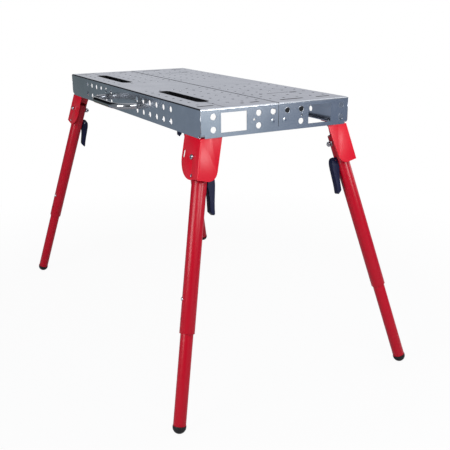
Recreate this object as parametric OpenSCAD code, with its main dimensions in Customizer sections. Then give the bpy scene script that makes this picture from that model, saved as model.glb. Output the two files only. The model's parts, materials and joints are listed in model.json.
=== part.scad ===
// Portable welding table: a two-part folded steel top on four folding, telescoping legs.
// The origin is on the floor under the middle of the top. X runs along the top, and the
// carry handle is on the -Y side.

/* [Table top] */
// Length of the top
top_length = 990; // [960:10:1200]
// Width of the top
top_width = 440; // [430:10:560]
// Height of the work surface over the floor
table_height = 760; // [740:5:800]
// Depth of the aprons folded down round the top
apron_height = 71; // [68:1:90]
// Thickness of the sheet steel
sheet_t = 2; // [1.5:0.1:2.5]
// Outside radius of the folds
fold_r = 4; // [3:0.5:6]
// Width of the lip folded in at the foot of the aprons
lip_w = 25; // [22:1:28]
// Depth of the flanges bolted together under the seam
seam_flange_h = 18; // [17:1:24]
// Radius cut from the lower corners of the aprons
corner_cut_r = 10; // [6:1:14]

/* [Holes] */
// Spacing of the holes along the top and the long aprons
hole_pitch_x = 45; // [44:0.5:46]
// Spacing of the rows of holes across the top
hole_pitch_y = 42.5; // [42:0.5:43]
// Distance from the middle of the top to the first column of holes
first_column_x = 107; // [104:1:110]
// Distance from the middle of the top to the first column of holes in the front apron
front_column_x = 104; // [101:1:106]
// Diameter of the small holes in the top
grid_hole_d = 8; // [6:0.5:10]
// Diameter of the fixture holes in the aprons
fixture_hole_d = 16; // [12:0.5:18]
// Depth of the upper row of fixture holes under the work surface
upper_row_drop = 20.5; // [19:0.5:22]
// Spacing of the two rows of fixture holes
row_spacing = 31; // [29:0.5:32]
// Length of the clamp slots
clamp_slot_l = 260; // [230:5:262]
// Width of the clamp slots
clamp_slot_w = 36; // [30:1:38]
// Depth of the liners in the clamp slots
slot_liner_h = 22; // [10:1:30]
// Width of the windows in the end aprons
window_w = 72.5; // [60:0.5:78]
// Height of the windows in the end aprons
window_h = 48; // [40:1:50]

/* [Carry handle] */
// Diameter of the bar
handle_d = 17; // [14:1:19]
// Distance between the centres of the handle's legs
handle_span = 236; // [200:2:260]
// Distance from the apron to the centre of the grip
handle_reach = 62; // [60:1:72]
// Radius of the handle's bends
handle_bend_r = 56; // [50:1:58]

/* [Legs] */
// Lean of the legs towards the long sides, in degrees
splay_side = 13.4; // [10:0.1:15]
// Lean of the legs towards the ends, in degrees
splay_end = 13; // [10:0.1:15]
// Distance from the end of the top to the leg's centre line, at the apron's foot
leg_inset_x = 37.5; // [37:0.5:42]
// Distance from the side of the top to the leg's centre line, at the apron's foot
leg_inset_y = 25.5; // [25:0.5:28]
// Diameter of the outer tube
outer_tube_d = 38; // [36:0.5:40]
// Wall of the outer tube
outer_tube_wall = 1.8; // [1.2:0.1:2]
// Distance along the leg from the apron's foot to the outer tube's lower end
outer_tube_end = 482; // [440:2:500]
// Diameter of the inner tube
inner_tube_d = 32; // [30:0.5:32.5]
// Wall of the inner tube
inner_tube_wall = 1.6; // [1.2:0.1:2.5]
// Spacing of the height holes
height_pitch = 47; // [45:0.1:52]
// Diameter of the domed foot
foot_d = 34; // [33:0.5:38]
// Length of the sleeve that guides the inner tube
guide_l = 27; // [20:1:30]

/* [Leg bracket] */
// Thickness of the bracket's plate
bracket_t = 2.5; // [2:0.1:3]
// Distance along the leg from the apron's foot to the pivot
pivot_drop = 54; // [50:1:58]
// Radius of the bracket's rounded side plate about the pivot
sector_r = 56; // [54:1:60]
// Distance from the pivot to the latch pin
latch_r = 46; // [42:1:46]
// Width of the bracket's end plate at the apron
web_w = 59; // [56:1:62]
// Diameter of the pivot bolt
pivot_d = 8; // [6:0.5:10]
// Diameter of the latch pin
latch_pin_d = 8; // [6:0.5:9]
// Length of the latch lever below its pin
lever_l = 90; // [80:1:100]
// Width of the latch lever
lever_w = 17; // [15:0.5:20]

/* [Hidden] */
$fn = 64;

// Clearances
fit_gap = 0.3;
running_gap = 0.05;
slide_gap = 0.1;

// Levels and half sizes of the top
half_l = top_length / 2;
half_w = top_width / 2;
apron_foot_z = table_height - apron_height;
upper_row_z = table_height - upper_row_drop;
lower_row_z = upper_row_z - row_spacing;
window_z = table_height - 36.5;

// Pattern of the holes in the top
grid_columns = 8;
grid_rows = 5;
apron_columns = 6;
slot_row = 3;
clamp_slot_x = first_column_x + 3.35 * hole_pitch_x;
clamp_slot_y = 3.55 * hole_pitch_y;
end_slot_x = half_l - 43;
end_slot_w = 8;
stop_x = first_column_x + 5 * hole_pitch_x;
window_y = 3.02 * hole_pitch_y;
end_row_shift = 5.5;
small_hole_y = 71;
strap_bolt_y = 18;
strap_bolt_drop = 44;
strap_t = 3;
seam_bolt_z = table_height - seam_flange_h / 2 - 1;

// Fasteners
m6_d = 6;
m6_head_d = 11;
m6_head_h = 3;
m8_head_d = 13;
m8_head_h = 5;
socket_d = 5.8;
socket_depth = 3;
washer_d = 18;
handle_bolt_l = 16;

// Leg, measured along it from the apron's foot, with the leg's centre line as local -Z
lean = cos(splay_side) * cos(splay_end);
side_off = leg_inset_y * cos(splay_side) - 0.3;
web_off = leg_inset_x * cos(splay_end) - leg_inset_y * sin(splay_end) * sin(splay_side) - 0.3;
tube_r = outer_tube_d / 2;
outer_tube_start = pivot_drop - 20;
latch_s = pivot_drop + latch_r;
web_foot_s = pivot_drop + sector_r + 2;
button_height = 83;
button_s = outer_tube_end - button_height;
button_turn = 18;
tube_overlap = 147;
inner_tube_start = outer_tube_end - tube_overlap;
foot_r = foot_d / 2;
foot_flat = 1.5;
foot_skirt = 3;
foot_stem = 25;
foot_s = (apron_foot_z - foot_r + foot_flat) / lean;
inner_tube_stop = foot_s - foot_skirt;
rivet_y = tube_r + 6;
latch_travel = 8;
button_d = 9;
button_rise = 3;
button_sink = 1;
dome_r = 5.3;
tongue_w = 6;
rivet_d = 4;
tab_w = lip_w - 3;
tab_l = 82.5;
tab_edge = 1.5;

// A rectangle with its two upper corners rounded
module rounded_top(w, h, r) {
    square([w, h - r]);
    translate([r, 0])
        square([w - 2 * r, h]);
    for (x = [r, w - r])
        translate([x, h - r])
            circle(r);
}

// A slot with round ends along X
module obround(l, w) {
    square([l - w, w], center = true);
    for (x = [-1, 1])
        translate([x * (l - w) / 2, 0])
            circle(d = w);
}

module bar_y(y0, y1, d) {
    translate([0, y0, 0])
        rotate([-90, 0, 0])
            cylinder(d = d, h = y1 - y0);
}

module bar_x(x0, x1, d) {
    translate([x0, 0, 0])
        rotate([0, 90, 0])
            cylinder(d = d, h = x1 - x0);
}

// The half of the top on the -Y side, as a solid block with rounded folds
module top_block(l, w, h, r) {
    intersection() {
        translate([-l / 2, 0, 0])
            rotate([90, 0, 0])
                linear_extrude(w)
                    rounded_top(l, h, r);
        translate([-l / 2, -w, 0])
            rotate([90, 0, 90])
                linear_extrude(l)
                    rounded_top(w, h, r);
    }
}

// The folded sheet of one half: top, three aprons with lips, and the flange at the seam
module tray_shell() {
    inner_l = top_length - 2 * sheet_t;
    inner_w = half_w - 2 * sheet_t;
    difference() {
        translate([0, 0, apron_foot_z])
            top_block(top_length, half_w, apron_height, fold_r);
        translate([0, -sheet_t, apron_foot_z + sheet_t])
            top_block(inner_l, inner_w, apron_height - 2 * sheet_t, fold_r - sheet_t);
        translate([lip_w - half_l, lip_w - half_w, apron_foot_z - 1])
            cube([top_length - 2 * lip_w, half_w, sheet_t + 2]);
        translate([sheet_t - half_l, -sheet_t - 1, apron_foot_z + sheet_t])
            cube([inner_l, sheet_t + 2, apron_height - sheet_t - seam_flange_h]);
        corner_cuts();
    }
}

// The lower corners of the aprons, rounded off where the two folds meet
module corner_cuts() {
    for (side = [0, 1])
        mirror([side, 0, 0])
            translate([half_l, -half_w, apron_foot_z]) {
                rotate([-90, 0, 0])
                    corner_cut();
                mirror([1, 1, 0])
                    rotate([-90, 0, 0])
                        corner_cut();
            }
}

module corner_cut() {
    cut_w = corner_cut_r + 2;
    translate([0, 0, -1])
        linear_extrude(cut_w)
            difference() {
                translate([-corner_cut_r, -corner_cut_r])
                    square(cut_w + corner_cut_r);
                translate([-corner_cut_r, -corner_cut_r])
                    circle(corner_cut_r);
            }
}

module grid_hole(column, row) {
    translate([first_column_x + column * hole_pitch_x, -(row + 0.5) * hole_pitch_y, table_height - sheet_t - 1])
        cylinder(d = grid_hole_d, h = sheet_t + 2, $fn = 24);
}

module top_slot(x, y, l, w) {
    translate([x, y, table_height - sheet_t - 1])
        rotate([0, 0, 90])
            linear_extrude(sheet_t + 2)
                obround(l, w);
}

// Two rows of fixture holes through the long apron
module apron_holes(first_x) {
    for (column = [0 : apron_columns - 1], z = [upper_row_z, lower_row_z])
        translate([first_x + column * hole_pitch_x, 0, z])
            bar_y(-half_w - 1, -half_w + sheet_t + 1, fixture_hole_d);
}

// Holes and window through the end apron
module end_holes(shift) {
    for (hole = [[0.5, upper_row_z], [1.5, upper_row_z], [1.5, lower_row_z], [4.5, upper_row_z], [4.5, lower_row_z]])
        translate([0, shift - hole[0] * hole_pitch_y, hole[1]])
            bar_x(half_l - sheet_t - 1, half_l + 1, fixture_hole_d);
    translate([0, -small_hole_y, (upper_row_z + lower_row_z) / 2])
        bar_x(half_l - sheet_t - 1, half_l + 1, m6_d);
    translate([0, -strap_bolt_y, table_height - strap_bolt_drop])
        bar_x(half_l - sheet_t - 1, half_l + 1, m6_d);
    translate([half_l, -window_y, window_z])
        cube([2 * sheet_t + 2, window_w, window_h], center = true);
}

// The holes that both halves share, for the +X end and by mirror for the -X end
module shared_holes(first_x, shift) {
    for (end = [0, 1])
        mirror([end, 0, 0]) {
            apron_holes(first_x);
            end_holes(shift);
            for (column = [0 : grid_columns - 1], row = [0, 1, 2, 4])
                if (keeps_hole(column, row))
                    grid_hole(column, row);
        }
    for (x = seam_bolt_places())
        translate([x, 0, seam_bolt_z])
            bar_y(-sheet_t - 1, 1, m6_d);
    lip_bolt_holes();
}

// The stops cut in the rear half take the place of three holes
function keeps_hole(column, row) = column != 5 || row == 0 || row == 4;

function seam_bolt_places() = [for (i = [-2 : 2]) i * top_length / 5.2];

module front_tray() {
    color("silver")
    difference() {
        tray_shell();
        shared_holes(front_column_x, end_row_shift);
        for (side = [-1, 1])
            translate([side * clamp_slot_x, -clamp_slot_y, table_height - sheet_t - 1])
                linear_extrude(sheet_t + 2)
                    obround(clamp_slot_l, clamp_slot_w);
        for (end = [0, 1])
            mirror([end, 0, 0]) {
                for (column = [0, grid_columns - 1])
                    grid_hole(column, slot_row);
                for (row = [1, 2])
                    grid_hole(5, row);
                top_slot(end_slot_x, -1.05 * hole_pitch_y, 28, end_slot_w);
                top_slot(end_slot_x, -4.35 * hole_pitch_y, 46, end_slot_w);
                top_slot(end_slot_x, -1.9 * hole_pitch_y, 10, 9.9);
                translate([clamp_slot_x + clamp_slot_l / 2 - 2, -clamp_slot_y - 1, table_height - sheet_t - 1])
                    cube([half_l - clamp_slot_x - clamp_slot_l / 2 - 6, 2, sheet_t + 2]);
            }
        for (x = [-1, 1] * handle_span / 2)
            translate([x, 0, handle_z()])
                bar_y(-half_w - 1, -half_w + sheet_t + 1, pivot_d);
    }
}

module back_tray() {
    color("silver")
    mirror([0, 1, 0])
        difference() {
            tray_shell();
            shared_holes(first_column_x, -end_row_shift);
            for (end = [0, 1])
                mirror([end, 0, 0]) {
                    for (column = [0 : grid_columns - 1])
                        if (column != 5)
                            grid_hole(column, slot_row);
                    top_slot(end_slot_x, -1.6 * hole_pitch_y, 72, end_slot_w);
                    top_slot(end_slot_x, -3.95 * hole_pitch_y, 44, end_slot_w);
                    top_slot(stop_x, -1.15 * hole_pitch_y, 10, 9.9);
                    top_slot(stop_x, -2.45 * hole_pitch_y, 70, 4);
                    top_slot(stop_x + 6, -3.55 * hole_pitch_y, 24, 10);
                }
        }
}

// Two hat sections spot welded across the underside of one half
module stiffeners() {
    hat_h = 28;
    hat_w = 24;
    foot_w = 9;
    run = half_w - 2 * fold_r - 2 * fit_gap;
    for (side = [-1, 1])
        translate([side * first_column_x / 2, -fold_r - fit_gap, table_height - sheet_t])
            rotate([90, 0, 0])
                linear_extrude(run)
                    difference() {
                        union() {
                            translate([-hat_w / 2, -hat_h])
                                square([hat_w, hat_h]);
                            translate([-hat_w / 2 - foot_w, -sheet_t])
                                square([hat_w + 2 * foot_w, sheet_t]);
                        }
                        translate([sheet_t - hat_w / 2, sheet_t - hat_h])
                            square([hat_w - 2 * sheet_t, hat_h]);
                    }
}

module front_stiffeners() {
    color("silver")
    stiffeners();
}

module back_stiffeners() {
    color("silver")
    mirror([0, 1, 0])
        stiffeners();
}

// Bolts with nuts through the two flanges under the seam
module seam_bolts() {
    color("gainsboro")
    for (x = seam_bolt_places())
        translate([x, 0, seam_bolt_z]) {
            bar_y(-sheet_t - 6, sheet_t + 5, m6_d);
            bar_y(-sheet_t - 4, -sheet_t, m6_head_d);
            translate([0, sheet_t, 0])
                rotate([-90, 0, 0])
                    cylinder(d = m6_head_d, h = 4, $fn = 6);
        }
}

// Flat straps behind the end aprons that tie the two halves together
module end_straps() {
    strap_l = 80;
    strap_h = 24;
    color("dimgray")
    for (end = [0, 1])
        mirror([end, 0, 0])
            difference() {
                translate([half_l - sheet_t - strap_t, -strap_l / 2, table_height - strap_bolt_drop - strap_h / 2])
                    cube([strap_t, strap_l, strap_h]);
                for (y = [-1, 1] * strap_bolt_y)
                    translate([0, y, table_height - strap_bolt_drop])
                        bar_x(half_l - sheet_t - strap_t - 1, half_l, m6_d);
            }
}

module end_strap_bolts() {
    color("silver")
    for (end = [0, 1])
        mirror([end, 0, 0])
            for (y = [-1, 1] * strap_bolt_y)
                translate([0, y, table_height - strap_bolt_drop]) {
                    bar_x(half_l - sheet_t - strap_t - 6, half_l, m6_d);
                    bar_x(half_l, half_l + 1.5, m6_head_d - 1);
                    translate([half_l - sheet_t - strap_t, 0, 0])
                        rotate([0, -90, 0])
                            cylinder(d = m6_head_d, h = 4, $fn = 6);
                }
}

// Black plugs in two of the end holes
module hole_plugs() {
    lip_d = fixture_hole_d - 0.6;
    color("black")
    for (end = [0, 1])
        mirror([end, 0, 0])
            for (row = [0.5, 1.5])
                translate([0, row * hole_pitch_y + end_row_shift, upper_row_z]) {
                    bar_x(half_l - sheet_t - 4, half_l - 0.6, lip_d);
                    bar_x(half_l - sheet_t - 5.5, half_l - sheet_t - 0.2, fixture_hole_d + 2);
                }
}

// Black liners pressed into the clamp slots
module slot_liners() {
    liner_t = 1.5;
    drop = 0.5;
    color("black")
    for (side = [-1, 1])
        translate([side * clamp_slot_x, -clamp_slot_y, table_height - drop - slot_liner_h])
            difference() {
                linear_extrude(slot_liner_h)
                    obround(clamp_slot_l - 2 * slide_gap, clamp_slot_w - 2 * slide_gap);
                translate([0, 0, -1])
                    linear_extrude(slot_liner_h + 2)
                        obround(clamp_slot_l - 2 * liner_t, clamp_slot_w - 2 * liner_t);
            }
}

function handle_z() = table_height - 37;

// Bent round bar with its two ends screwed to the front apron
module carry_handle() {
    bend = handle_bend_r;
    span = handle_span / 2;
    grip_y = -half_w - handle_reach;
    color("gainsboro")
    translate([0, 0, handle_z()])
        difference() {
            union() {
                translate([0, grip_y, 0])
                    bar_x(bend - span, span - bend, handle_d);
                for (side = [0, 1])
                    mirror([side, 0, 0]) {
                        translate([span, 0, 0])
                            bar_y(grip_y + bend, -half_w, handle_d);
                        translate([span - bend, grip_y + bend, 0])
                            rotate([0, 0, -90])
                                rotate_extrude(angle = 90)
                                    translate([bend, 0])
                                        circle(d = handle_d);
                    }
            }
            for (x = [-1, 1] * span)
                translate([x, 0, 0])
                    bar_y(-half_w - handle_bolt_l, -half_w + 1, pivot_d);
        }
}

module handle_bolts() {
    color("silver")
    for (x = [-1, 1] * handle_span / 2)
        translate([x, 0, handle_z()]) {
            bar_y(-half_w - handle_bolt_l, -half_w + sheet_t + 2, pivot_d);
            bar_y(-half_w + sheet_t, -half_w + sheet_t + m8_head_h, m8_head_d);
        }
}

// Puts its children on the corner at +X and -Y, with local -Z down the leg
module leg_frame() {
    translate([half_l - leg_inset_x, leg_inset_y - half_w, apron_foot_z])
        rotate([-splay_side, 0, 0])
            rotate([0, -splay_end, 0])
                children();
}

module front_right() {
    children();
}

module front_left() {
    mirror([1, 0, 0])
        children();
}

module back_right() {
    mirror([0, 1, 0])
        children();
}

module back_left() {
    mirror([1, 0, 0])
        mirror([0, 1, 0])
            children();
}

module every_corner() {
    front_right() children();
    front_left() children();
    back_right() children();
    back_left() children();
}

// Side plate, rounded about the pivot, seen along local Y
module side_plate_outline() {
    polygon([[web_off, 40], [10 - sector_r, 40], [-sector_r, -pivot_drop], [0, -pivot_drop - sector_r],
        [web_off, -pivot_drop - sector_r]]);
    translate([0, -pivot_drop])
        circle(sector_r, $fn = 96);
}

// End plate, tapered and rounded at its lower inner corner, seen along local X
module end_plate_outline() {
    round_r = 25;
    taper = 6;
    polygon([[-side_off, 40], [web_w - side_off + 2, 40], [web_w - side_off - taper + 0.6, round_r - web_foot_s],
        [web_w - side_off - taper - round_r, -web_foot_s], [-side_off, -web_foot_s]]);
    translate([web_w - side_off - taper - round_r, round_r - web_foot_s])
        circle(round_r - 0.01);
}

// The folded angle: side plate and end plate with one rounded fold between them
module angle_section() {
    difference() {
        rounded_corner(web_off + sector_r + 10, side_off + web_w + 10, fold_r);
        translate([-bracket_t, bracket_t])
            rounded_corner(web_off + sector_r + 10, side_off + web_w + 10, fold_r - bracket_t);
    }
}

// A rectangle whose corner at +X and -Y lies at the origin and is rounded
module rounded_corner(w, h, r) {
    translate([-w, r])
        square([w, h - r]);
    translate([-w, 0])
        square([w - r, h]);
    translate([-r, r])
        circle(r);
}

// Red folded bracket that carries one leg, with its tabs under the lips of the top
module bracket() {
    difference() {
        union() {
            intersection() {
                leg_frame()
                    intersection() {
                        translate([web_off, -side_off, -web_foot_s])
                            linear_extrude(web_foot_s + 40)
                                angle_section();
                        union() {
                            translate([0, fold_r - side_off, 0])
                                rotate([90, 0, 0])
                                    linear_extrude(fold_r + 1)
                                        side_plate_outline();
                            translate([web_off - bracket_t - 0.5, 0, 0])
                                rotate([90, 0, 90])
                                    linear_extrude(bracket_t + 1)
                                        end_plate_outline();
                        }
                    }
                translate([0, -top_width, 0])
                    cube([top_length, top_width, apron_foot_z]);
            }
            translate([half_l - tab_edge - tab_w, tab_edge - half_w, apron_foot_z - bracket_t])
                cube([tab_w, web_w - 2, bracket_t]);
            translate([half_l - tab_edge - tab_l, tab_edge - half_w, apron_foot_z - bracket_t])
                cube([tab_l, tab_w, bracket_t]);
        }
        leg_frame() {
            translate([0, 0, -pivot_drop])
                bar_y(-side_off - 5, -side_off + 10, pivot_d + 2 * slide_gap);
            translate([0, 0, -latch_s])
                bar_y(-side_off - 5, -side_off + 10, latch_pin_d + 1);
            lock_slot();
        }
        for (place = bracket_bolt_places())
            translate([place[0], place[1], apron_foot_z - bracket_t - 1])
                cylinder(d = m6_d, h = bracket_t + 2);
    }
}

// Slot that takes the latch pin when the leg is folded under the top
module lock_slot() {
    translate([0, -side_off - 5, -pivot_drop])
        rotate([-90, 0, 0])
            rotate([0, 0, 90 + splay_end])
                translate([0, latch_r, 0])
                    linear_extrude(15)
                        obround(20, latch_pin_d + 1);
}

function bracket_bolt_places() = [
    [half_l - 13, 34 - half_w], [half_l - 13, 50 - half_w], [half_l - 34, 13 - half_w], [half_l - 68, 13 - half_w]
];

// Bolts through the bracket's tabs and the lips of the top
module bracket_bolts() {
    color("silver")
    every_corner()
        for (place = bracket_bolt_places())
            translate([place[0], place[1], apron_foot_z]) {
                translate([0, 0, -bracket_t - m6_head_h])
                    cylinder(d = m6_head_d, h = m6_head_h);
                translate([0, 0, -bracket_t - 1])
                    cylinder(d = m6_d, h = bracket_t + sheet_t + 7);
                translate([0, 0, sheet_t])
                    cylinder(d = m6_head_d, h = 4, $fn = 6);
            }
}

// Holes for the bracket's bolts in the lips of one half
module lip_bolt_holes() {
    for (end = [0, 1])
        mirror([end, 0, 0])
            for (place = bracket_bolt_places())
                translate([place[0], place[1], apron_foot_z - 1])
                    cylinder(d = m6_d, h = sheet_t + 2);
}

module pivot_bolts() {
    color("silver")
    every_corner()
        leg_frame()
            translate([0, 0, -pivot_drop])
                difference() {
                    union() {
                        bar_y(-side_off - 1, tube_r + 12, pivot_d);
                        bar_y(-side_off - m8_head_h + 1, -side_off, m8_head_d);
                        bar_y(-side_off - m8_head_h, -side_off, m8_head_d - 2);
                    }
                    translate([0, -side_off - m8_head_h - 1, 0])
                        rotate([-90, 0, 0])
                            cylinder(d = socket_d, h = socket_depth + 1, $fn = 6);
                }
}

// One washer between the bracket and the tube, and one under the nut
module pivot_washers() {
    color("silver")
    every_corner()
        leg_frame()
            translate([0, 0, -pivot_drop]) {
                washer(bracket_t - side_off, -tube_r - fit_gap, washer_d);
                washer(tube_r + fit_gap, tube_r + fit_gap + 1.6, washer_d - 2);
            }
}

module washer(y0, y1, d) {
    difference() {
        bar_y(y0, y1, d);
        bar_y(y0 - 1, y1 + 1, pivot_d);
    }
}

module pivot_nuts() {
    color("silver")
    every_corner()
        leg_frame()
            translate([0, tube_r + fit_gap + 1.6, -pivot_drop])
                rotate([-90, 0, 0])
                    difference() {
                        cylinder(d = 15, h = 7, $fn = 6);
                        translate([0, 0, -1])
                            cylinder(d = pivot_d, h = 9);
                    }
}

module outer_tube() {
    color("firebrick")
    leg_frame()
        difference() {
            translate([0, 0, -outer_tube_end])
                cylinder(d = outer_tube_d, h = outer_tube_end - outer_tube_start);
            translate([0, 0, -outer_tube_end - 1])
                cylinder(d = outer_tube_d - 2 * outer_tube_wall, h = outer_tube_end);
            translate([0, 0, -pivot_drop])
                bar_y(-tube_r - 1, tube_r + 1, pivot_d + 2 * running_gap);
            translate([0, 0, -latch_s])
                bar_y(-tube_r - 1, tube_r + 1, latch_pin_d + 2 * running_gap);
            for (step = [-1, 0])
                translate([0, 0, -button_s + step * height_pitch])
                    rotate([0, 0, -button_turn])
                        bar_y(-tube_r - 1, 0, button_d + 2 * slide_gap);
        }
}

module guide_sleeve() {
    color("dimgray")
    leg_frame()
        translate([0, 0, -outer_tube_end])
            difference() {
                cylinder(d = outer_tube_d - 2 * outer_tube_wall, h = guide_l);
                translate([0, 0, -1])
                    cylinder(d = inner_tube_d + 2 * slide_gap, h = guide_l + 2);
            }
}

module inner_tube() {
    color("firebrick")
    leg_frame()
        difference() {
            translate([0, 0, -inner_tube_stop])
                cylinder(d = inner_tube_d, h = inner_tube_stop - inner_tube_start);
            translate([0, 0, -inner_tube_stop - 1])
                cylinder(d = inner_tube_d - 2 * inner_tube_wall, h = inner_tube_stop);
            for (step = [0, 1])
                translate([0, 0, -button_s + step * height_pitch])
                    rotate([0, 0, -button_turn])
                        bar_y(-inner_tube_d, 0, button_d + 2 * slide_gap);
        }
}

// Rubber dome plugged into the end of the inner tube, worn flat where it meets the floor
module foot() {
    stem_r = inner_tube_d / 2 - inner_tube_wall - slide_gap;
    color("black")
    intersection() {
        leg_frame()
            translate([0, 0, -foot_s])
                rotate_extrude() {
                    intersection() {
                        circle(foot_r);
                        translate([0, -foot_r])
                            square([foot_r, foot_r]);
                    }
                    square([foot_r, foot_skirt]);
                    square([stem_r, foot_skirt + foot_stem]);
                }
        translate([0, -2 * top_width, 0])
            cube([2 * top_length, 2 * top_width, table_height]);
    }
}

// Domed spring button in the outer tube, over the hole of the inner tube
module height_button() {
    color("silver")
    leg_frame()
        translate([0, 0, -button_s])
            rotate([90, 0, -button_turn])
                rotate_extrude()
                    intersection() {
                        union() {
                            translate([0, tube_r - button_sink])
                                square([button_d / 2, button_sink + 0.5]);
                            translate([0, tube_r + button_rise - dome_r])
                                circle(dome_r);
                        }
                        translate([0, tube_r - button_sink])
                            square([button_d / 2, button_sink + button_rise]);
                    }
}

// Locking pin with a collar for its spring and a tongue for the lever
module latch_pin() {
    tip_y = bracket_t - side_off + fit_gap;
    collar_y = -tube_r + outer_tube_wall + 3;
    color("silver")
    leg_frame()
        translate([0, 0, -latch_s])
            difference() {
                union() {
                    bar_y(tip_y, tube_r - 3, latch_pin_d);
                    bar_y(collar_y, collar_y + 2, latch_pin_d + 6);
                    intersection() {
                        bar_y(tube_r - 4, rivet_y + 10, latch_pin_d);
                        union() {
                            translate([-tongue_w / 2, tube_r - 4, -4])
                                cube([tongue_w, rivet_y - tube_r + 4, 8]);
                            translate([0, rivet_y, 0])
                                bar_x(-tongue_w / 2, tongue_w / 2, 8);
                        }
                    }
                }
                translate([0, rivet_y, 0])
                    bar_x(-10, 10, rivet_d + 2 * running_gap);
            }
}

// Spring round the latch pin, between its collar and the far wall of the tube
module latch_spring() {
    start_y = -tube_r + outer_tube_wall + 5;
    end_y = tube_r - outer_tube_wall - 1.4;
    color("gray")
    leg_frame()
        translate([0, 0, -latch_s])
            difference() {
                bar_y(start_y, end_y, latch_pin_d + 4);
                bar_y(start_y - 1, end_y + 1, latch_pin_d + 1);
            }
}

function bezier(a, b, c, d, t) =
    pow(1 - t, 3) * a + 3 * pow(1 - t, 2) * t * b + 3 * (1 - t) * t * t * c + t * t * t * d;

// Outline of the lever about its rivet: Y away from the tube, Z up the leg
module lever_outline() {
    near = tube_r + fit_gap - rivet_y;
    back = [for (i = [0 : 10]) bezier([3, 7.5], [21, 5], [13, -0.4 * lever_l], [22, -0.96 * lever_l], i / 10)];
    front = [for (i = [0 : 8]) bezier([9, -0.92 * lever_l], [5, -0.68 * lever_l], [2.5, -0.4 * lever_l], [near, -22], i / 8)];
    polygon(concat(back, [[20, -lever_l]], front, [[near, 4], [near + 2, 7]]));
}

// Black lever that draws the latch pin out of the bracket
module latch_lever() {
    color("black")
    leg_frame()
        translate([0, rivet_y, -latch_s])
            difference() {
                translate([-lever_w / 2, 0, 0])
                    rotate([90, 0, 90])
                        linear_extrude(lever_w)
                            lever_outline();
                translate([-tongue_w / 2 - fit_gap, -20, -latch_pin_d / 2 - 2.5])
                    cube([tongue_w + 2 * fit_gap, 20 + 5.5, 20]);
                bar_x(-lever_w, lever_w, rivet_d);
            }
}

module lever_rivet() {
    color("silver")
    leg_frame()
        translate([0, rivet_y, -latch_s])
            bar_x(-lever_w / 2, lever_w / 2, rivet_d);
}

front_tray();
back_tray();
front_stiffeners();
back_stiffeners();
seam_bolts();
end_straps();
end_strap_bolts();
hole_plugs();
slot_liners();
carry_handle();
handle_bolts();
bracket_bolts();
pivot_bolts();
pivot_washers();
pivot_nuts();
front_left() bracket();  // bracket_front_left
front_right() bracket();  // bracket_front_right
back_left() bracket();  // bracket_back_left
back_right() bracket();  // bracket_back_right
front_left() outer_tube();  // outer_tube_front_left
front_right() outer_tube();  // outer_tube_front_right
back_left() outer_tube();  // outer_tube_back_left
back_right() outer_tube();  // outer_tube_back_right
front_left() guide_sleeve();  // guide_sleeve_front_left
front_right() guide_sleeve();  // guide_sleeve_front_right
back_left() guide_sleeve();  // guide_sleeve_back_left
back_right() guide_sleeve();  // guide_sleeve_back_right
front_left() inner_tube();  // inner_tube_front_left
front_right() inner_tube();  // inner_tube_front_right
back_left() inner_tube();  // inner_tube_back_left
back_right() inner_tube();  // inner_tube_back_right
front_left() foot();  // foot_front_left
front_right() foot();  // foot_front_right
back_left() foot();  // foot_back_left
back_right() foot();  // foot_back_right
front_left() height_button();  // height_button_front_left
front_right() height_button();  // height_button_front_right
back_left() height_button();  // height_button_back_left
back_right() height_button();  // height_button_back_right
front_left() latch_pin();  // latch_pin_front_left
front_right() latch_pin();  // latch_pin_front_right
back_left() latch_pin();  // latch_pin_back_left
back_right() latch_pin();  // latch_pin_back_right
front_left() latch_spring();  // latch_spring_front_left
front_right() latch_spring();  // latch_spring_front_right
back_left() latch_spring();  // latch_spring_back_left
back_right() latch_spring();  // latch_spring_back_right
front_left() latch_lever();  // latch_lever_front_left
front_right() latch_lever();  // latch_lever_front_right
back_left() latch_lever();  // latch_lever_back_left
back_right() latch_lever();  // latch_lever_back_right
front_left() lever_rivet();  // lever_rivet_front_left
front_right() lever_rivet();  // lever_rivet_front_right
back_left() lever_rivet();  // lever_rivet_back_left
back_right() lever_rivet();  // lever_rivet_back_right
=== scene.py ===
"""Portable welding table: a perforated zinc-plated top on four red folding legs."""
import json
import math

import bmesh
import bpy
from mathutils import Matrix, Vector


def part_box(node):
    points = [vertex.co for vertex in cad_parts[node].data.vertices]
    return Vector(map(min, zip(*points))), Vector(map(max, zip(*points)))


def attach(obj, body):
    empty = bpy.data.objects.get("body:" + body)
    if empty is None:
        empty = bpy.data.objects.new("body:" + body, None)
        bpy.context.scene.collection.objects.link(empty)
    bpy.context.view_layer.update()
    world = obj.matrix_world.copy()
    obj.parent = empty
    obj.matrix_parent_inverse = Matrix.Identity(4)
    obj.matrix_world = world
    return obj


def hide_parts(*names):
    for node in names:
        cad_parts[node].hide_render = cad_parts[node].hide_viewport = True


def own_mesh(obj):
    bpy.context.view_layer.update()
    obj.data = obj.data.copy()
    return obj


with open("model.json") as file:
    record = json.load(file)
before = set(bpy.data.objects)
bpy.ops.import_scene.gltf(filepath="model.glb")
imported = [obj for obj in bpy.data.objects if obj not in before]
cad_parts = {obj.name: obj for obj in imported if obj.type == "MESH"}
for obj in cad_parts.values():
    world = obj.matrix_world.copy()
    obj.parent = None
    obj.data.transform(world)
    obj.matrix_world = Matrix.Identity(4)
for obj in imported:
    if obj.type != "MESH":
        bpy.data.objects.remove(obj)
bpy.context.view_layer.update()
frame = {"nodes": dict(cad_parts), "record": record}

# Camera: stands by the near right corner, a little above the top. It was fitted to the corners of
# the top and to the leg ends in the photograph.
YAW, PITCH, ROLL = math.radians(-60.76), math.radians(18.10), math.radians(0.36)
STANDPOINT = Vector((1.9146, -0.9504, 0.997))
FOCAL_LENGTH, SENSOR_WIDTH = 54.4, 36
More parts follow.
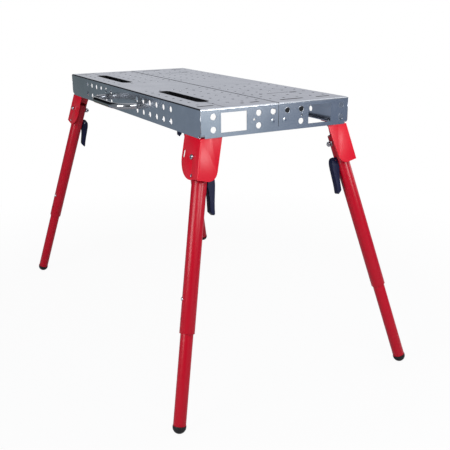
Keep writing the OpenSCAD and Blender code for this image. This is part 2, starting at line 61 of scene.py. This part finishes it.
forward = Vector((math.sin(YAW) * math.cos(PITCH), math.cos(YAW) * math.cos(PITCH), -math.sin(PITCH)))
level = Vector((math.cos(YAW), -math.sin(YAW), 0))
right = math.cos(ROLL) * level + math.sin(ROLL) * forward.cross(level)
lens = bpy.data.cameras.new("camera")
lens.sensor_width = SENSOR_WIDTH
lens.lens = FOCAL_LENGTH
camera = bpy.data.objects.new("camera", lens)
turned = Matrix((right, right.cross(forward), -forward)).transposed().to_4x4()
camera.matrix_world = Matrix.Translation(STANDPOINT) @ turned
bpy.context.scene.collection.objects.link(camera)
bpy.context.scene.camera = camera
bpy.context.scene.view_settings.view_transform = "Standard"


# Room: greys and blues all round the table, with two dark patches, which the camera sees as plain
# white. Bare metal shows what stands round it, so the zinc takes its shades from this room.
def linear(code):
    """Linear colour of an sRGB hex code."""
    parts = [int(code[i:i + 2], 16) / 255 for i in (1, 3, 5)]
    return tuple(c / 12.92 if c <= 0.04045 else ((c + 0.055) / 1.055) ** 2.4 for c in parts) + (1.0,)


def add(tree, kind, inputs=(), stops=(), **settings):
    """Adds a node, sets its properties and ramp stops, and sets or links its inputs."""
    made = tree.nodes.new(kind)
    for key, value in settings.items():
        setattr(made, key, value)
    for key, value in dict(inputs).items():
        if isinstance(value, bpy.types.NodeSocket):
            tree.links.new(value, made.inputs[key])
        else:
            made.inputs[key].default_value = value
    for index, (position, code) in enumerate(stops):
        if index == len(made.color_ramp.elements):
            made.color_ramp.elements.new(position)
        made.color_ramp.elements[index].position = position
        made.color_ramp.elements[index].color = linear(code)
    return made


# Two bands of wall, below and above the horizon. Each runs once round the table, from its left end
# (0) past the front (0.25), the right end (0.5) and the back (0.75).
LOW_WALL = [(0.0, "#5c6662"), (0.045, "#667068"), (0.08, "#9caabe"), (0.2, "#8a9096"), (0.45, "#9aa0a6"),
            (0.555, "#d4e8f4"), (0.575, "#d8eaf4"), (0.593, "#586c8e"), (0.66, "#68768f"), (0.8, "#8f969e"),
            (1.0, "#5c6662")]
HIGH_WALL = [(0.0, "#dcdee2"), (0.05, "#5c6066"), (0.1, "#4c5056"), (0.16, "#8a8e94"), (0.3, "#a0a4aa"),
             (0.5, "#a8acb2"), (0.59, "#84888e"), (0.63, "#5c6066"), (0.7, "#9a9ea4"), (0.8, "#c4c6cc"),
             (0.9, "#cecfd6"), (1.0, "#dcdee2")]
HORIZON_LOW, HORIZON_HIGH = -0.07, -0.01
DARK_PATCHES = (((-0.90, -0.17, 0.40), 0.90, "#14171a"), ((0.87, -0.40, 0.28), 0.92, "#282b30"))
PATCH_BLEND = 0.05
# The colour sockets of a Mix node, by number, because they share their names with its others.
MIX_A, MIX_B, MIXED = 6, 7, 2

world = bpy.data.worlds.new("studio")
world.use_nodes = True
bpy.context.scene.world = world
sky = world.node_tree
sky.nodes.clear()
aim = add(sky, "ShaderNodeTexCoord").outputs["Generated"]
axes = add(sky, "ShaderNodeSeparateXYZ", {"Vector": aim}).outputs
angle = add(sky, "ShaderNodeMath", {0: axes["Y"], 1: axes["X"]}, operation="ARCTAN2").outputs[0]
turn = add(sky, "ShaderNodeMath", {0: angle, 1: 0.5 / math.pi, 2: 0.5}, operation="MULTIPLY_ADD").outputs[0]
low = add(sky, "ShaderNodeValToRGB", {"Fac": turn}, LOW_WALL).outputs["Color"]
high = add(sky, "ShaderNodeValToRGB", {"Fac": turn}, HIGH_WALL).outputs["Color"]
above = add(sky, "ShaderNodeMapRange", {"Value": axes["Z"], "From Min": HORIZON_LOW,
                                        "From Max": HORIZON_HIGH}).outputs[0]
walls = add(sky, "ShaderNodeMix", {"Factor": above, MIX_A: low, MIX_B: high},
            data_type="RGBA").outputs[MIXED]
for toward, edge, shade in DARK_PATCHES:
    facing = add(sky, "ShaderNodeVectorMath", {0: aim, 1: toward}, operation="DOT_PRODUCT").outputs["Value"]
    dark = add(sky, "ShaderNodeMapRange", {"Value": facing, "From Min": edge,
                                           "From Max": edge + PATCH_BLEND}).outputs[0]
    walls = add(sky, "ShaderNodeMix", {"Factor": dark, MIX_A: walls, MIX_B: linear(shade)},
                data_type="RGBA").outputs[MIXED]
room = add(sky, "ShaderNodeBackground", {"Color": walls, "Strength": 1.0})
paper = add(sky, "ShaderNodeBackground", {"Color": (1, 1, 1, 1), "Strength": 1.0})
to_camera = add(sky, "ShaderNodeLightPath").outputs["Is Camera Ray"]
both = add(sky, "ShaderNodeMixShader", {0: to_camera, 1: room.outputs[0], 2: paper.outputs[0]})
add(sky, "ShaderNodeOutputWorld", {"Surface": both.outputs[0]})

# Lamps: soft boxes, each with its place, its width and height in metres, and its watts. All aim at
# the table's right half. The near one stands close to the right end, for the sheen of the bracket.
LAMPS = {"overhead": ((0.9, 1.3, 2.9), (2.4, 2.4), 22),
         "key": ((2.8, -0.4, 2.1), (1.2, 1.2), 36),
         "near": ((1.7, 0.5, 0.98), (0.36, 0.36), 6.8),
         "side": ((0.5, 3.3, 2.0), (2.8, 2.2), 50),
         "front": ((0.9, -2.7, 1.45), (1.4, 1.7), 52)}
LIT_POINT = Vector((0.3, 0, 0.6))
for name, (spot, size, power) in LAMPS.items():
    lamp = bpy.data.lights.new(name, "AREA")
    lamp.shape = "RECTANGLE"
    lamp.size, lamp.size_y = size
    lamp.energy = power
    holder = bpy.data.objects.new(name, lamp)
    holder.location = spot
    holder.rotation_euler = (LIT_POINT - Vector(spot)).to_track_quat("-Z", "Y").to_euler()
    bpy.context.scene.collection.objects.link(holder)


# Floor: a white disc under the table. To the camera it is nearly plain white, so that it keeps a
# soft shadow under each foot and runs into the white of the room at its rim.
def material(name, base, metallic, roughness, **constants):
    """A new material with a principled shader, and its constants set on the shader's own sockets."""
    made = bpy.data.materials.new(name)
    made.use_nodes = True
    tree = made.node_tree
    tree.nodes.clear()
    shader = add(tree, "ShaderNodeBsdfPrincipled", {"Base Color": linear(base), "Metallic": metallic,
                                                    "Roughness": roughness})
    for socket, value in constants.items():
        shader.inputs[socket.replace("_", " ").title().replace("Ior", "IOR")].default_value = value
    out = add(tree, "ShaderNodeOutputMaterial", {"Surface": shader.outputs["BSDF"]})
    return made, tree, shader, out


FLOOR_RADIUS, FLOOR_SIDES = 1.6, 96
GLOW_UNDER_TABLE = 0.95
white, tree, shader, out = material("white_paper", "#a8a8ac", 0.0, 0.9)
glow = add(tree, "ShaderNodeEmission", {"Color": (1, 1, 1, 1), "Strength": 1.0})
place = add(tree, "ShaderNodeTexCoord").outputs["Object"]
reach = add(tree, "ShaderNodeVectorMath", {0: place}, operation="LENGTH").outputs["Value"]
fade = add(tree, "ShaderNodeMapRange", {"Value": reach, "From Min": 0.5 * FLOOR_RADIUS,
                                        "From Max": FLOOR_RADIUS, "To Min": GLOW_UNDER_TABLE,
                                        "To Max": 1.0}).outputs[0]
to_camera = add(tree, "ShaderNodeLightPath").outputs["Is Camera Ray"]
part_glow = add(tree, "ShaderNodeMath", {0: to_camera, 1: fade}, operation="MULTIPLY").outputs[0]
both = add(tree, "ShaderNodeMixShader", {0: part_glow, 1: shader.outputs[0], 2: glow.outputs[0]})
tree.links.new(both.outputs[0], out.inputs["Surface"])
bpy.ops.mesh.primitive_circle_add(vertices=FLOOR_SIDES, radius=FLOOR_RADIUS, fill_type="NGON")
floor = bpy.context.object
floor.name = "floor"
floor.data.materials.append(white)


# Top: two trays folded from 2 mm steel sheet, with hat sections under them, all zinc plated. The
# plating is semi-bright: a little cloudy, with fine rolling lines that run along the sheet.
def finish_node(name, made):
    """Gives every slot of a CAD node one material."""
    node = frame["nodes"][name]
    if not node.material_slots:
        node.data.materials.append(made)
    for slot in node.material_slots:
        slot.material = made


# Patterns in counts to the metre: clouds 110 mm wide, and lines 170 mm long and 4.5 mm apart, which
# is coarser than real rolling lines, so that they show.
CLOUDS, LINES_ALONG, LINES_ACROSS = 9.0, 6.0, 220.0
zinc, tree, shader, out = material("semi_bright_zinc", "#b9bdc4", 1.0, 0.28)
place = add(tree, "ShaderNodeTexCoord").outputs["Object"]
cloud = add(tree, "ShaderNodeTexNoise", {"Vector": place, "Scale": CLOUDS, "Detail": 5.0,
                                         "Roughness": 0.6}).outputs["Fac"]
stretch = add(tree, "ShaderNodeMapping", {"Vector": place,
                                          "Scale": (LINES_ALONG, LINES_ACROSS, LINES_ACROSS)}).outputs[0]
grain = add(tree, "ShaderNodeTexNoise", {"Vector": stretch, "Scale": 1.0, "Detail": 3.0}).outputs["Fac"]
tint = add(tree, "ShaderNodeValToRGB", {"Fac": cloud}, [(0.3, "#b0b4bb"), (0.7, "#c4c7cd")])
tree.links.new(tint.outputs["Color"], shader.inputs["Base Color"])
rough = add(tree, "ShaderNodeMapRange", {"Value": grain, "From Min": 0.3, "From Max": 0.7,
                                         "To Min": 0.235, "To Max": 0.255})
tree.links.new(rough.outputs[0], shader.inputs["Roughness"])
for name in ("front_tray", "back_tray", "front_stiffeners", "back_stiffeners"):
    finish_node(name, zinc)

# Cut edges: painted shade in the holes and slots of the top. Their walls get near-black copies of
# themselves, moved out by a hair, so that the holes read dark, as shaded hollows do.
SHADE_SKIN = 0.00003
WELD_DISTANCE = 1e-6
# How far down a wall in the sheet may reach, and how far in from the outline the skirt's do.
SHEET_DEPTH, SKIRT_DEPTH = 0.0021, 0.003
# Painted shade: a near-black, dull surface for the shaded insides of the cuts and of the seam gap.
painted_shade = material("painted_edge_shade", "#060607", 0.0, 0.8, specular_ior_level=0.1)[0]
for half in ("front", "back"):
    mesh = frame["nodes"][f"{half}_tray"].data.copy()
    low, high = (Vector(corner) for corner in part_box(f"{half}_tray"))
    shape = bmesh.new()
    shape.from_mesh(mesh)
    bmesh.ops.remove_doubles(shape, verts=shape.verts, dist=WELD_DISTANCE)
    shape.normal_update()
    cut_walls = set()
    for face in shape.faces:
        centre = face.calc_center_median()
        upright = abs(face.normal.z) < 0.1
        in_sheet = min(vert.co.z for vert in face.verts) > high.z - SHEET_DEPTH
        off_skirt = all(low[i] + SKIRT_DEPTH < centre[i] < high[i] - SKIRT_DEPTH for i in (0, 1))
        if upright and in_sheet and off_skirt:
            cut_walls.add(face)
    bmesh.ops.delete(shape, geom=[face for face in shape.faces if face not in cut_walls], context="FACES")
    for vert in shape.verts:
        vert.co += SHADE_SKIN * vert.normal
    shape.to_mesh(mesh)
    shape.free()
    mesh.materials.clear()
    mesh.materials.append(painted_shade)
    edges = bpy.data.objects.new(f"cut_edge_shade_{half}", mesh)
    bpy.context.scene.collection.objects.link(edges)
    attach(edges, "table")

# Hole rims: the mouths of the holes are dressed smooth, and catch the light as thin rings. Their
# places come from the mounts in the record, and one node tree makes them all.
RIM_STEPS, LIP_STEPS = 32, 8
LIPS_IN_RADIUS = 40
HALF_SHEET = 0.001
rim_tree = bpy.data.node_groups.new("hole_rims", "GeometryNodeTree")
for label, kind in (("Holes", "Geometry"), ("Hole Radius", "Float"), ("Lip Radius", "Float"),
                    ("Finish", "Material")):
    rim_tree.interface.new_socket(label, in_out="INPUT", socket_type="NodeSocket" + kind)
rim_tree.interface.new_socket("Rims", in_out="OUTPUT", socket_type="NodeSocketGeometry")
given = add(rim_tree, "NodeGroupInput").outputs
middle = add(rim_tree, "ShaderNodeMath", {0: given["Hole Radius"], 1: given["Lip Radius"]},
             operation="SUBTRACT")
ring = add(rim_tree, "GeometryNodeCurvePrimitiveCircle", {"Resolution": RIM_STEPS,
                                                          "Radius": middle.outputs[0]})
lip = add(rim_tree, "GeometryNodeCurvePrimitiveCircle", {"Resolution": LIP_STEPS,
                                                         "Radius": given["Lip Radius"]})
swept = add(rim_tree, "GeometryNodeCurveToMesh", {"Curve": ring.outputs["Curve"],
                                                  "Profile Curve": lip.outputs["Curve"]})
facing = add(rim_tree, "GeometryNodeInputNamedAttribute", {"Name": "facing"}, data_type="FLOAT_VECTOR")
tilted = add(rim_tree, "FunctionNodeAlignRotationToVector", {"Vector": facing.outputs["Attribute"]},
             axis="Z")
placed = add(rim_tree, "GeometryNodeInstanceOnPoints", {"Points": given["Holes"],
                                                        "Instance": swept.outputs[0],
                                                        "Rotation": tilted.outputs[0]})
real = add(rim_tree, "GeometryNodeRealizeInstances", {"Geometry": placed.outputs[0]})
smooth = add(rim_tree, "GeometryNodeSetShadeSmooth", {"Geometry": real.outputs[0]})
finished = add(rim_tree, "GeometryNodeSetMaterial", {"Geometry": smooth.outputs[0],
                                                     "Material": given["Finish"]})
add(rim_tree, "NodeGroupOutput", {"Rims": finished.outputs[0]})


def rims(name, holes, radius, lip_radius, made):
    """Rims for (centre, outward) holes of one radius, each ring just inside the mouth of its hole."""
    mesh = bpy.data.meshes.new(name)
    mesh.from_pydata([centre - lip_radius * outward for centre, outward in holes], [], [])
    normals = mesh.attributes.new("facing", "FLOAT_VECTOR", "POINT")
    normals.data.foreach_set("vector", [part for _, outward in holes for part in outward])
    piece = bpy.data.objects.new(name, mesh)
    bpy.context.scene.collection.objects.link(piece)
    modifier = piece.modifiers.new("rims", "NODES")
    modifier.node_group = rim_tree
    values = {"Hole Radius": radius, "Lip Radius": lip_radius, "Finish": made}
    for item in rim_tree.interface.items_tree:
        if item.name in values:
            modifier[item.identifier] = values[item.name]
    plain = bpy.data.meshes.new_from_object(piece.evaluated_get(bpy.context.evaluated_depsgraph_get()))
    piece.modifiers.clear()
    piece.data = plain
    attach(piece, "table")


def both_ways(spacing_mm):
    """The offsets in metres of two holes from the middle between them, or of one hole on it."""
    return sorted({-spacing_mm / 2000, spacing_mm / 2000})


holes = {}
for mount in frame["record"]["mounts"]:
    dims = mount["dims"]
    radius = dims.get("hole_r_mm", dims.get("r_mm"))
    if not radius:
        continue
    outward = Vector(mount["axis"])
    across = Vector((0, 1, 0)) if outward.x else Vector((1, 0, 0))
    along = Vector((0, 1, 0)) if outward.z else Vector((0, 0, 1))
    # A bore's place is half way through the sheet, and that of a pattern of holes is on its face.
    mouth = Vector(mount["pos_m"]) + outward * (HALF_SHEET if mount["kind"] == "bore" else 0)
    for x in both_ways(dims.get("spacing_x_mm", 0)):
        for y in both_ways(dims.get("spacing_y_mm", 0)):
            holes.setdefault(radius / 1000, []).append((mouth + x * across + y * along, outward))
for radius, group in holes.items():
    rims(f"rims_{round(radius * 2000)}", group, radius, radius / LIPS_IN_RADIUS, zinc)


# Seam and corners of the skirt: on the ends, a strip of painted shade stands for the dark gap
# between the halves, and a short rib is pressed between the plugs. A dressed weld closes each corner
# with a fine bright bead.
def bar(name, corner, opposite, made, sides=0):
    """A box between two opposite corners, or the upright round bar in it when it has sides."""
    low = Vector(map(min, corner, opposite))
    high = Vector(map(max, corner, opposite))
    shape = bmesh.new()
    if sides:
        bmesh.ops.create_cone(shape, cap_ends=True, segments=sides, radius1=0.5, radius2=0.5, depth=1)
    else:
        bmesh.ops.create_cube(shape, size=1)
    for vert in shape.verts:
        vert.co = (low + high) / 2 + (high - low) * vert.co
    for face in shape.faces:
        face.smooth = bool(sides) and len(face.verts) == 4
    mesh = bpy.data.meshes.new(name)
    shape.to_mesh(mesh)
    shape.free()
    mesh.materials.append(made)
    piece = bpy.data.objects.new(name, mesh)
    bpy.context.scene.collection.objects.link(piece)
    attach(piece, "table")


END_X, SIDE_Y, SKIRT_LOW, SKIRT_HIGH = 0.495, 0.22, 0.7005, 0.7565
IN_SKIRT = END_X - HALF_SHEET
GAP_PROUD, HALF_GAP = 0.00005, 0.0006
RIB_PROUD, RIB_START, RIB_END, RIB_LOW, RIB_HIGH = 0.0005, 0.036, 0.06, 0.7375, 0.742
BEAD_RADIUS, BEAD_INSET, BEAD_SIDES = 0.0009, 0.0005, 16
for end, name in ((-1, "left"), (1, "right")):
    # Painted shade: a near-black strip over the seam on each end, where the gap between the halves is dark.
    bar(f"seam_gap_shade_{name}", ((IN_SKIRT - GAP_PROUD) * end, -HALF_GAP, SKIRT_LOW),
        ((END_X + GAP_PROUD) * end, HALF_GAP, SKIRT_HIGH), painted_shade)
    bar(f"end_rib_{name}", (IN_SKIRT * end, RIB_START, RIB_LOW),
        ((END_X + RIB_PROUD) * end, RIB_END, RIB_HIGH), zinc)
    for side, edge in ((-1, "front"), (1, "back")):
        x, y = (END_X - BEAD_INSET) * end, (SIDE_Y - BEAD_INSET) * side
        bar(f"corner_bead_{name}_{edge}", (x - BEAD_RADIUS, y - BEAD_RADIUS, SKIRT_LOW),
            (x + BEAD_RADIUS, y + BEAD_RADIUS, SKIRT_HIGH), zinc, BEAD_SIDES)

# Carry handle: bent round bar, screwed to the front apron. Its polished chrome plate mirrors the
# room sharply.
chrome = material("polished_chrome", "#b2b4b7", 1.0, 0.1)[0]
finish_node("carry_handle", chrome)


# Fasteners: bright zinc-plated bolts, nuts and washers. Each is a copy of its solid with the
# edges broken by a small chamfer, as on turned and forged parts.
def softened(node, body, made, width=0.0004, segments=2):
    """A copy of a CAD node with its sharp edges rounded, which stands for the node."""
    flat, sharp, smooth = (math.radians(degrees) for degrees in (1, 35, 40))
    mesh = frame["nodes"][node].data.copy()
    shape = bmesh.new()
    shape.from_mesh(mesh)
    bmesh.ops.remove_doubles(shape, verts=shape.verts, dist=WELD_DISTANCE)
    bmesh.ops.dissolve_limit(shape, angle_limit=flat, verts=shape.verts, edges=shape.edges)
    edges = [edge for edge in shape.edges if len(edge.link_faces) == 2 and edge.calc_face_angle(0) > sharp]
    bmesh.ops.bevel(shape, geom=edges, offset=width, offset_type="OFFSET", segments=segments, profile=0.5,
                    affect="EDGES", clamp_overlap=True)
    for face in shape.faces:
        face.smooth = len(face.verts) < 5
    bmesh.ops.triangulate(shape, faces=shape.faces)
    shape.to_mesh(mesh)
    shape.free()
    mesh.materials.clear()
    mesh.materials.append(made)
    mesh.set_sharp_from_angle(angle=smooth)
    piece = bpy.data.objects.new("soft_" + node, mesh)
    bpy.context.scene.collection.objects.link(piece)
    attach(piece, body)
    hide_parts(node)


bright = material("bright_zinc", "#c4c7cc", 1.0, 0.2)[0]
softened("end_strap_bolts", "table", zinc)
for name in ("seam_bolts", "handle_bolts", "bracket_bolts", "pivot_bolts", "pivot_washers", "pivot_nuts"):
    softened(name, "table", bright)

# Straps: flat bars bolted behind the end aprons, which hold the two halves together. They are
# blacked in hot oxide, which leaves a dull sheen.
oxide = material("hot_black_oxide", "#1c1d20", 0.6, 0.45)[0]
softened("end_straps", "table", oxide)

# Plugs and slot liners: moulded nylon caps pushed into two holes of each end apron, each in a
# bright ring, and sleeves of the same nylon under the clamp slots.
PLUG_RADIUS, PLUG_LIP, PLUG_HEIGHT = 0.008, 0.0006, 0.7395
PLUGS_FROM_SEAM = (0.02675, 0.06925)
nylon = material("moulded_nylon", "#0b0c0f", 0.0, 0.38, specular_ior_level=0.3)[0]
finish_node("hole_plugs", nylon)
finish_node("slot_liners", nylon)
plug_mouths = [(Vector((END_X * end, y, PLUG_HEIGHT)), Vector((end, 0, 0)))
               for end in (-1, 1) for y in PLUGS_FROM_SEAM]
rims("plug_rims", plug_mouths, PLUG_RADIUS, PLUG_LIP, bright)

# Brackets and leg tubes: steel under a red powder coat with a slight orange peel. The tubes' red is
# darker than the brackets' as painted shade, for the shade on the legs, and a little less rough.
COATS = {"bracket": ("#c80020", 0.34, 0.4), "tube": ("#a8001c", 0.3, 0.32)}
CORNERS = ("front_left", "front_right", "back_left", "back_right")
BRACKET_EDGE, TUBE_EDGE = 0.0006, 0.0004
# Dimples 2.4 mm wide, in a count to the metre, and their depth in metres.
DIMPLES, DIMPLE_DEPTH = 420.0, 0.0004
reds = {}
for part, (base, roughness, sheen) in COATS.items():
    reds[part], tree, shader, out = material(f"red_{part}_coat", base, 0.0, roughness,
                                             specular_ior_level=sheen)
    place = add(tree, "ShaderNodeTexCoord").outputs["Object"]
    peel = add(tree, "ShaderNodeTexNoise", {"Vector": place, "Scale": DIMPLES,
                                            "Detail": 2.0}).outputs["Fac"]
    bump = add(tree, "ShaderNodeBump", {"Height": peel, "Strength": 0.06, "Distance": DIMPLE_DEPTH})
    tree.links.new(bump.outputs[0], shader.inputs["Normal"])
for corner in CORNERS:
    softened(f"bracket_{corner}", "table", reds["bracket"], BRACKET_EDGE)
    softened(f"outer_tube_{corner}", f"leg_{corner}", reds["tube"], TUBE_EDGE)
    softened(f"inner_tube_{corner}", f"extension_{corner}", reds["tube"], TUBE_EDGE)

# Latch eyes: a bright ring in the hole of each bracket, which takes the latch pin's end. It stands
# as far from the lever's rivet, along the pin, as the bracket's plate does.
EYE_RADIUS, EYE_LIP = 0.005, 0.0009
PLATE_FROM_RIVET = 0.0495
joints = {joint["name"]: joint for joint in frame["record"]["behaviour"]["joints"]}
eyes = []
for corner in CORNERS:
    inward = Vector(joints[f"unlatch_{corner}"]["axis"])
    rivet = Vector(joints[f"pull_{corner}"]["pos_m"])
    eyes.append((rivet - PLATE_FROM_RIVET * inward, -inward))
rims("latch_eyes", eyes, EYE_RADIUS, EYE_LIP, bright)

# Guide sleeves: dark acetal rings in the mouth of each outer tube, in which the inner tube slides.
# They only show as a thin dark line; their colour has a painted red cast, for the light that the
# red tube round them throws back.
# Painted reflection: the sleeves' near-black carries a red cast from the tubes round them.
acetal = material("dark_acetal_red_cast", "#2a0c10", 0.0, 0.5)[0]
for corner in CORNERS:
    finish_node(f"guide_sleeve_{corner}", acetal)

# Feet: domed caps of black rubber, pushed onto the inner tubes. Moulded rubber is dull, with only a
# weak sheen.
rubber = material("moulded_rubber", "#0e0e10", 0.0, 0.5, specular_ior_level=0.4)[0]
for corner in CORNERS:
    finish_node(f"foot_{corner}", rubber)

# Latches: a steel pin with a coil spring inside each leg tube, drawn back by a moulded lever on a
# rivet, and the domed button that holds the leg's length.
TURNS, STEPS, WIRE_RADIUS = 9, 16, 0.0005
LEVER_EDGE, LEVER_STEPS = 0.0012, 3


def coil_spring(corner):
    """A coil of round wire in the place of a plain spring sleeve."""
    sleeve = [vert.co for vert in frame["nodes"][f"latch_spring_{corner}"].data.vertices]
    push = Vector(joints[f"unlatch_{corner}"]["axis"]).normalized()
    start, stop = (pick(point.dot(push) for point in sleeve) for pick in (min, max))
    centre = sum(sleeve, Vector()) / len(sleeve)
    foot = centre - centre.dot(push) * push
    radius = max((point - foot - point.dot(push) * push).length for point in sleeve) - WIRE_RADIUS
    aside = push.orthogonal().normalized()
    wire = bpy.data.curves.new(f"coil_{corner}", "CURVE")
    wire.dimensions = "3D"
    wire.bevel_depth = WIRE_RADIUS
    wire.bevel_resolution = 1
    run = wire.splines.new("POLY")
    run.points.add(TURNS * STEPS)
    for index, point in enumerate(run.points):
        angle = 2 * math.pi * index / STEPS
        along = start + WIRE_RADIUS + (stop - start - 2 * WIRE_RADIUS) * index / (TURNS * STEPS)
        ray = math.cos(angle) * aside + math.sin(angle) * push.cross(aside)
        point.co = (*(foot + along * push + radius * ray), 1)
    curve = bpy.data.objects.new(f"curve_{corner}", wire)
    bpy.context.scene.collection.objects.link(curve)
    mesh = bpy.data.meshes.new_from_object(curve.evaluated_get(bpy.context.evaluated_depsgraph_get()))
    bpy.data.objects.remove(curve)
    mesh.materials.clear()
    mesh.materials.append(spring_steel)
    piece = bpy.data.objects.new(f"coil_{corner}", mesh)
    bpy.context.scene.collection.objects.link(piece)
    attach(piece, f"leg_{corner}")
    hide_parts(f"latch_spring_{corner}")
    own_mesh(piece)


spring_steel = material("spring_steel", "#9a9ca0", 1.0, 0.3)[0]
navy = material("navy_nylon", "#181b36", 0.0, 0.4, specular_ior_level=0.12)[0]
for corner in CORNERS:
    finish_node(f"height_button_{corner}", bright)
    finish_node(f"latch_pin_{corner}", bright)
    coil_spring(corner)
    softened(f"latch_lever_{corner}", f"lever_{corner}", navy, LEVER_EDGE, LEVER_STEPS)
    finish_node(f"lever_rivet_{corner}", bright)
